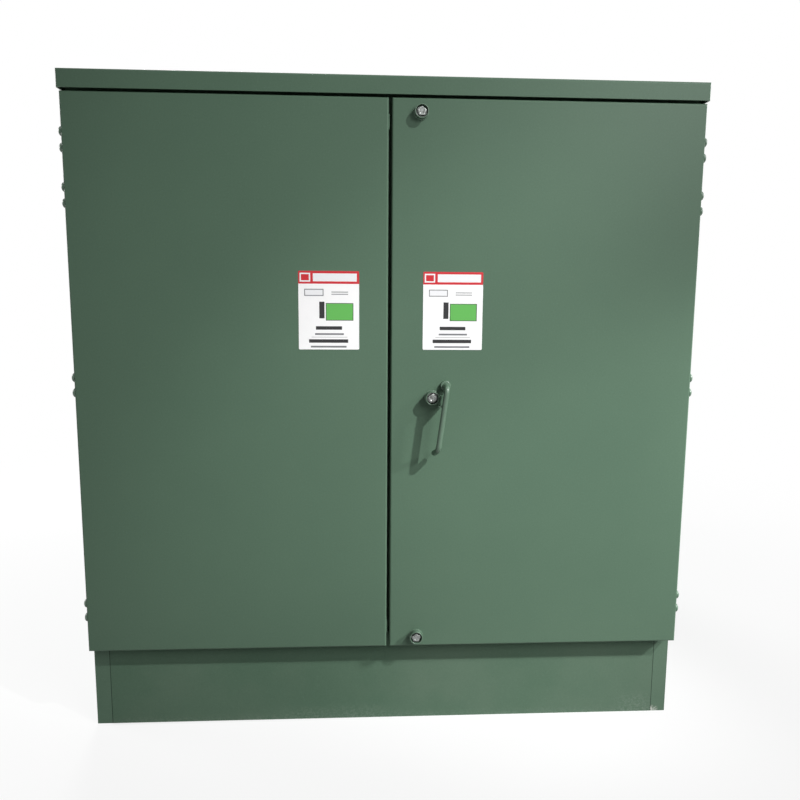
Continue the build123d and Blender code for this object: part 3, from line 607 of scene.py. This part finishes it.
cup_outer, cup_inner = 15.5 * MM, 13.5 * MM
cup_floor, cup_hole = 2 * MM, 8 * MM
cup_places = [
    (69 * MM, door_top - 31 * MM, 16 * MM),
    (69 * MM, door_bottom + 27 * MM, 16 * MM),
    (100 * MM, door_bottom + 618.5 * MM, 24 * MM),
]


def cup_outline(height):
    """A tube's wall with a rounded lip, and its floor."""
    tube = [(cup_outer, 0), (cup_outer, height), (cup_inner, height), (cup_inner, cup_floor)]
    return eased([*tube, (cup_hole, cup_floor)], [0.9 * MM, 0.9 * MM, 0.3 * MM], 5)


def five_sided(levels, centre, steps):
    """A five-sided head: r(t) = R * (1 - k + k * cos(36) / cos(t mod 72 - 36)), with k the share of
    the pentagon at each level (R, height, k)."""
    levels = np.asarray(levels, float)
    t = np.linspace(0, 2 * pi, steps, endpoint=False)
    fifth = cos(pi / 5) / np.cos(np.mod(t, 2 * pi / 5) - pi / 5)
    radius = levels[:, :1] * (1 - levels[:, 2:] + levels[:, 2:] * fifth[None])
    points = np.stack([radius * np.sin(t), np.repeat(-levels[:, 1:2], steps, 1), radius * np.cos(t)], -1)
    return rings(points + np.asarray(centre))


shank_radius, shank_back = 6.3 * MM, 8 * MM
washer_radius, washer_sheet, washer_ease = 12 * MM, 2 * MM, 0.4 * MM
head_radius, head_height, head_set_back = 10.8 * MM, 10 * MM, 1 * MM
dish_radius, dish_depth = 5 * MM, 0.8 * MM


def head_levels(cup_height):
    """A shank, a round washer face, then the five sides, eased at the top, with a shallow dish."""
    top = cup_height - head_set_back
    low = top - head_height
    return [
        (0, -shank_back, 0),
        (shank_radius, -shank_back, 0),
        (shank_radius, low - washer_sheet, 0),
        (washer_radius, low - washer_sheet, 0),
        (washer_radius, low - washer_ease, 0),
        (washer_radius - washer_ease, low, 0),
        (head_radius, low, 0.9),
        (head_radius, top - 1.2 * MM, 0.9),
        (head_radius - 0.5 * MM, top - 0.4 * MM, 0.8),
        (head_radius - 1.8 * MM, top, 0.4),
        (dish_radius + 1 * MM, top - 0.1 * MM, 0.1),
        (dish_radius, top - dish_depth, 0),
        (0, top - dish_depth, 0),
    ]


cups = [turned(cup_outline(height), (x, front, z), -Y, 44) for x, z, height in cup_places]
bead_ring, bead_rise, bead_radius = cup_outer + 0.4 * MM, 0.3 * MM, 1.3 * MM
beads = [
    carried(circle(bead_ring, (x, front - bead_rise, z), 60), np.full(60, bead_radius), 8, lead=Y)
    for x, z, _ in cup_places
]
plate_edge = 0.4 * MM
hasp_reach, hasp_depth, hasp_corner, hasp_sheet = 5.4 * MM, 20 * MM, 1.5 * MM, 2.4 * MM
hasp_from_bolt = 17 * MM
hasp_turn = radians(-38)
hasp_out = np.array([cos(hasp_turn), 0, sin(hasp_turn)])
hasp_up = np.array([-sin(hasp_turn), 0, cos(hasp_turn)])
handle_cup_x, handle_cup_z, _ = cup_places[2]
hasp_centre = np.array([handle_cup_x, front - hasp_depth / 2, handle_cup_z]) + hasp_out * hasp_from_bolt
hasp = slab(rectangle(hasp_reach, hasp_depth, hasp_corner), soft_levels(hasp_sheet, plate_edge),
            hasp_centre - hasp_up * hasp_sheet / 2, hasp_out, Y, hasp_up)
piece("bolt_guard_cups", joined(*cups, *beads, hasp), "right_door", paint_hardware,
      ["penta_guards"])
heads = [five_sided(head_levels(height), (x, front, z), 60) for x, z, height in cup_places]
piece("five_sided_bolts", joined(*heads), "right_door", zinc_plate, ["penta_bolts"])


# Door handle: one bent rod, its ear, and the turned collar that carries it

rod_radius = 6.35 * MM
rod_step = 3 * MM
handle_x, handle_z = 132 * MM, door_bottom + 645.5 * MM
behind_door = 18 * MM
stand_off = 46 * MM
lean = radians(7.5)
grip = 146.5 * MM
grip_y = front - stand_off
end_x, end_z = handle_x - grip * sin(lean), handle_z - grip * cos(lean)
hook_left, hook_back, hook_drop = 8 * MM, 29 * MM, 13 * MM
upper_bend, lower_bend = 13 * MM, 11 * MM
corners = [
    (handle_x, front + behind_door, handle_z),
    (handle_x, grip_y, handle_z),
    (end_x, grip_y, end_z),
    (end_x - hook_left, grip_y + hook_back, end_z - hook_drop),
]
line = spaced(eased(corners, [upper_bend, lower_bend], 14), rod_step)
last = line[-1] - line[-2]
last /= np.linalg.norm(last)
round_places = np.array([1.2, 2.2, 2.8, 3.0]) * MM
round_shares = [0.96, 0.80, 0.5, 0.0]
line = np.concatenate([line[:-1], line[-1] + last * (round_places - rod_step)[:, None]])
radii = np.full(len(line), rod_radius)
radii[-4:] = np.array(round_shares) * rod_radius
radii[0] = 0
ear_depth, ear_length, ear_sheet, ear_corner = 38 * MM, 31 * MM, 3 * MM, 2 * MM
ear_drop, ear_back = 31 * MM, 21 * MM
foot_reach, foot_depth = 14 * MM, 16 * MM
foot_drop, foot_back = 44 * MM, 10 * MM
ear_levels = soft_levels(ear_sheet, plate_edge)
bend_place = np.array([handle_x, grip_y, handle_z])
ear_out = np.array([-cos(lean), 0, sin(lean)])
ear_down = np.array([-sin(lean), 0, -cos(lean)])
ear_centre = bend_place + ear_down * ear_drop - ear_out * ear_sheet / 2 + Y * ear_back
ear = slab(rectangle(ear_depth, ear_length, ear_corner), ear_levels, ear_centre, Y, ear_down, ear_out)
foot_centre = bend_place + ear_down * foot_drop + ear_out * foot_reach / 2 + Y * foot_back
foot = slab(rectangle(foot_reach, foot_depth, ear_corner), ear_levels, foot_centre, ear_out, Y, ear_down)
piece("bent_rod_handle", joined(carried(line, radii, 24), ear, foot), "handle", paint_hardware,
      ["door_handle"], 50)
collar_bore, collar_outer, collar_height = 6.5 * MM, 12 * MM, 8 * MM
collar = [(collar_bore, 0), (collar_outer, 0), (collar_outer, collar_height), (collar_bore, collar_height)]
collar = eased(collar, [0.1 * MM, 2 * MM], 6)
collar = turned(np.concatenate([collar, collar[:1]]), (handle_x, front, handle_z), -Y, 40)
piece("handle_bearing_collar", collar, "right_door", paint_hardware, ["handle_collar"])


# Weld beads on the tank


def upright_weld(x, y, low, high, radius=3 * MM):
    """A bead between two levels."""
    return weld([(x, y, low), (x, y, high)], radius)


lug_low, lug_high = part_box("lifting_lugs")
header_low, header_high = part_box("radiator_headers")
weld_foot = 14 * MM
seam_radius, top_radius = 1.6 * MM, 2.5 * MM
lug_half = 8 * MM
lug_rows = [wall + share * (rear - wall) for share in (0.3, 0.7)]
corner_in, corner_back = 0.6 * MM, 0.4 * MM
seam_in, seam_behind = 0.4 * MM, 6 * MM
top_in, top_behind, top_drop = 1 * MM, 8 * MM, 0.5 * MM
top_x = tank_side - top_in
right_runs = [
    upright_weld(tank_side - corner_in, rear - corner_back, weld_foot, tank_top),
    upright_weld(tank_side - seam_in, wall + seam_behind, weld_foot, tank_top, seam_radius),
    weld([(top_x, wall + top_behind, tank_top), (top_x, rear, tank_top)], top_radius),
]
for lug_y in lug_rows:
    for sign in (-1, 1):
        right_runs.append(upright_weld(tank_side, lug_y + sign * lug_half, lug_low.z, lug_high.z))
right_runs = joined(*right_runs)
back_z = tank_top - top_drop
back_run = weld([(-tank_side, rear, back_z), (tank_side, rear, back_z)], top_radius, lead=Z)
stub_radius, stub_bead, stub_ripples, stub_inset = 25 * MM, 3 * MM, 20, 30 * MM
stub_turn = np.linspace(0, 2 * pi, 80)
stub_radii = stub_bead * (1 + RIPPLE * np.sin(stub_ripples * stub_turn))
stub_places = [
    (share * (header_high.x - header_low.x), rear, level)
    for share in (-0.3, 0.3)
    for level in (header_low.z + stub_inset, header_high.z - stub_inset)
]
stub_welds = [carried(circle(stub_radius, place, 80), stub_radii, 8, lead=Y) for place in stub_places]
piece("tank_weld_beads", joined(right_runs, across_x(right_runs), back_run, *stub_welds), "root", paint_tank)


# High-voltage wells with their rubber caps

hv_low, hv_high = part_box("hv_bushings")
hv_z = (hv_low.z + hv_high.z) / 2
hv_flange = 62 * MM
hv_row = [hv_low.x + hv_flange, (hv_low.x + hv_high.x) / 2, hv_high.x - hv_flange]
cap = MM * np.array([
    (0, 0), (62, 0), (62, 10), (46, 12), (40, 20), (39, 45), (30, 50), (27, 110), (21, 119.5), (0, 119.5),
])
cap = eased(cap, MM * np.array([0.1, 2.5, 3, 5, 3, 4, 6, 5]), 5)
caps = many(turned(cap, (0, 0, 0), -Y, 40), [(x, wall, hv_z) for x in hv_row])
piece("high_voltage_well_caps", caps, "root", rubber, ["hv_bushings"])
flange_height, bolt_circle = 10 * MM, 53 * MM
flange_bolt = turned(dome(5 * MM, 4 * MM, 1 * MM), (0, 0, 0), -Y, 16)
bolt_angles = [pi / 4, 3 * pi / 4, 5 * pi / 4, 7 * pi / 4]
studs = [
    (x + bolt_circle * cos(angle), wall - flange_height, hv_z + bolt_circle * sin(angle))
    for x in hv_row
    for angle in bolt_angles
]
piece("well_flange_bolts", many(flange_bolt, studs), "root", zinc_plate)


# Low-voltage bushings: a cast flange, porcelain sheds and a nut on the stud

lv_low, lv_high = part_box("lv_bushings")
lv_z = (lv_low.z + lv_high.z) / 2
lv_flange = 50 * MM
lv_row = np.linspace(lv_low.x + lv_flange, lv_high.x - lv_flange, 4)
lv_places = [(x, wall, lv_z) for x in lv_row]
bell = MM * np.array([
    (0, 12), (34, 12), (33, 24), (42, 33), (42, 36), (32, 41), (32, 50), (42, 58), (42, 61), (28, 69.5),
    (0, 69.5),
])
bell = eased(bell, MM * np.array([0.1, 5, 3, 2, 6, 5, 3, 2, 6]), 5)
bells = many(turned(bell, (0, 0, 0), -Y, 40), lv_places)
piece("low_voltage_porcelains", bells, "root", glaze, ["lv_bushings"])
flange = eased(MM * np.array([(0, 0), (50, 0), (50, 12), (36, 12.2), (0, 12.2)]), MM * np.array([0.1, 2, 1]))
flanges = many(turned(flange, (0, 0, 0), -Y, 40), lv_places)
piece("low_voltage_flanges", flanges, "root", cast_case)
nut_radius, nut_height, nut_ease, nut_out = 23 * MM, 10 * MM, 0.8 * MM, 70 * MM
nut_levels = [
    (None, 0),
    (0.6 * MM, 0),
    (0, nut_ease),
    (0, nut_height - 1 * MM),
    (nut_ease, nut_height),
    (None, nut_height),
]
nut = slab(polygon(6, nut_radius), nut_levels, (0, -nut_out, 0), X, Z, -Y)
piece("low_voltage_stud_nuts", many(nut, lv_places), "root", brass)


# Gauge dials: face, needle and boss

gauge_low, gauge_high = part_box("gauges")
gauge_x = (gauge_low.x + gauge_high.x) / 2
gauge_radius = (gauge_high.x - gauge_low.x) / 2
bezel = 7 * MM
face_radius, face_height = gauge_radius - bezel, 0.5 * MM
face_outline = [(0, 0), (face_radius, 0), (face_radius, face_height), (0, face_height)]
needle_outline = MM * np.array([(2, -10), (0.6, 30), (-0.6, 30), (-2, -10)])
needle_levels = [(None, 0.6 * MM), (0, 0.6 * MM), (0, 1.2 * MM), (None, 1.2 * MM)]
boss_outline = MM * np.array([(0, 0.5), (4, 0.5), (4, 2), (0, 2.4)])
needle_turns = (-50, -20)
for number, gauge_z in enumerate((gauge_low.z + gauge_radius, gauge_high.z - gauge_radius), 1):
    gauge_middle = (gauge_x, gauge_low.y, gauge_z)
    face = turned(face_outline, gauge_middle, -Y, 48)
    face_finish = gauge_face_finish(f"gauge_{number}_dial", gauge_x, gauge_z, face_radius)
    piece(f"gauge_{number}_face", face, "root", face_finish)
    turn = radians(needle_turns[number - 1])
    out = np.array([sin(turn), 0, cos(turn)])
    flat = np.array([cos(turn), 0, -sin(turn)])
    needle = slab(needle_outline, needle_levels, gauge_middle, flat, out, -Y)
    boss = turned(boss_outline, gauge_middle, -Y, 20)
    piece(f"gauge_{number}_needle", joined(needle, boss), "root", black_knob)


# Floor and world: white to the camera, in gloss and through glass

SHOWN_TO = ("Is Camera Ray", "Is Glossy Ray", "Is Transmission Ray")


def shown_rays(nodes):
    """1 for each ray that the white surroundings are shown to."""
    camera_ray, glossy_ray, glass_ray = [nodes.node("ShaderNodeLightPath", out=ray) for ray in SHOWN_TO]
    return camera_ray.most(glossy_ray).most(glass_ray)


def floor_finish():
    """White where it is shown, but for the object's shadow and the ground inside its base."""
    finish = Finish("pale_floor")
    x, y = finish.axes(0, 1)
    reach = (x * x + y * y).root()
    grain = finish.noise(3, 3.0, 0.5)
    tint = finish.mix(grain, (0.50, 0.50, 0.50, 1), (0.54, 0.54, 0.54, 1))
    floor = finish.node("ShaderNodeBsdfDiffuse", None, {"Color": tint})
    seen = finish.node("ShaderNodeBsdfDiffuse", None, {"Color": (0.9, 0.9, 0.9, 1)})
    glow = finish.node("ShaderNodeEmission", None, {"Color": (1, 1, 1, 1), "Strength": 1.0})
    under = window(x, sill_low.x, sill_high.x, 10 * MM) * window(y, sill_low.y, wall, 10 * MM)
    share = (reach.step(1.2, 3.2) * 0.14 + 0.86) * (1 - under)
    pale = finish.node("ShaderNodeMixShader", None, {0: share, 1: seen, 2: glow})
    shown = finish.node("ShaderNodeMixShader", None, {0: shown_rays(finish), 1: floor, 2: pale})
    finish.node("ShaderNodeOutputMaterial", None, {"Surface": shown})
    return finish.material


floor_half = 30
floor_corners = [(-floor_half, -floor_half, 0), (floor_half, -floor_half, 0), (floor_half, floor_half, 0),
                 (-floor_half, floor_half, 0)]
ground = bpy.data.meshes.new("floor")
ground.from_pydata(floor_corners, [], [(0, 1, 2, 3)])
ground.materials.append(floor_finish())
floor = bpy.data.objects.new("floor", ground)
bpy.context.scene.collection.objects.link(floor)

world = bpy.data.worlds.new("studio")
world.use_nodes = True
bpy.context.scene.world = world
sky = Nodes(world.node_tree)
even = sky.node("ShaderNodeBackground", None, {"Color": (0.94, 0.97, 1.0, 1), "Strength": 0.09})
white = sky.node("ShaderNodeBackground", None, {"Color": (1, 1, 1, 1), "Strength": 1.0})
surroundings = sky.node("ShaderNodeMixShader", None, {0: shown_rays(sky), 1: even, 2: white})
sky.node("ShaderNodeOutputWorld", None, {"Surface": surroundings})


# Lamps


def lamp(name, kind, place, aim, power, **settings):
    """A lamp of that power in watts, turned so that it points at its aim."""
    light = bpy.data.lights.new(name, kind)
    light.energy = power
    for key, value in settings.items():
        setattr(light, key, value)
    held = bpy.data.objects.new(name, light)
    held.location = place
    held.rotation_euler = (Vector(aim) - Vector(place)).to_track_quat("-Z", "Y").to_euler()
    bpy.context.scene.collection.objects.link(held)


middle = Vector((0.1, front, 0.86))


def off(slope_x, slope_z, distance):
    """A lamp's place that throws the shadow of a point one unit proud by the slopes, left and down."""
    return middle + Vector((slope_x, -1, slope_z)).normalized() * distance


def key(name, slopes, distance, aim, power, angle, size):
    """A spot with a soft rim, aimed at a place (x, z) on the doors."""
    aim = (aim[0], front, aim[1])
    lamp(name, "SPOT", off(*slopes, distance), aim, power,
         spot_size=radians(angle), spot_blend=1.0, shadow_soft_size=size)


STEEP, FLAT, BROAD = (1.2, 1.35), (2.2, 1.13), (0.7, 0.55)
key("key_top", STEEP, 9.0, (0.12, 1.42), 2140, 11.2, 0.11)
key("key_middle", STEEP, 9.0, (0.02, 0.86), 1500, 6.0, 0.11)
key("key_low_left", STEEP, 9.0, (-0.10, 0.60), 830, 7.9, 0.11)
key("key_low_right", STEEP, 9.0, (0.62, 0.42), 1990, 7.5, 0.11)
key("side_faint", FLAT, 4.0, (0.71, 0.56), 775, 18.8, 0.15)
lamp("broad_soft", "AREA", off(*BROAD, 4.0), middle, 59, shape="DISK", size=1.6)
lamp("back_soft", "AREA", (-1.2, 4.5, 3.2), (0, 0.2, 0.8), 260, shape="DISK", size=2.0)
lamp("right_soft", "AREA", (5.0, 1.2, 2.4), (0.7, 0.3, 0.8), 80, shape="DISK", size=2.0)
lamp("left_soft", "AREA", (-5.0, 1.2, 2.4), (-0.7, 0.3, 0.8), 110, shape="DISK", size=2.0)


# Camera: the photograph's place and turn

lens_pixels, image_pixels = 770.8, 800
sensor_width = 36
yaw, pitch, roll = radians(3.20), radians(8.35), radians(0.42)
ahead = Vector((sin(yaw) * cos(pitch), cos(yaw) * cos(pitch), -sin(pitch)))
level = Vector((cos(yaw), -sin(yaw), 0))
upright = level.cross(ahead)
right = cos(roll) * level + sin(roll) * upright
up = -sin(roll) * level + cos(roll) * upright
eye = Vector((-0.074, front - 1.785, door_bottom + 0.874))
camera_data = bpy.data.cameras.new("camera")
camera_data.sensor_width = sensor_width
camera_data.lens = sensor_width * lens_pixels / image_pixels
camera = bpy.data.objects.new("camera", camera_data)
camera.matrix_world = Matrix.Translation(eye) @ Matrix((right, up, -ahead)).transposed().to_4x4()
bpy.context.scene.collection.objects.link(camera)
bpy.context.scene.camera = camera
bpy.context.scene.view_settings.view_transform = "Standard"
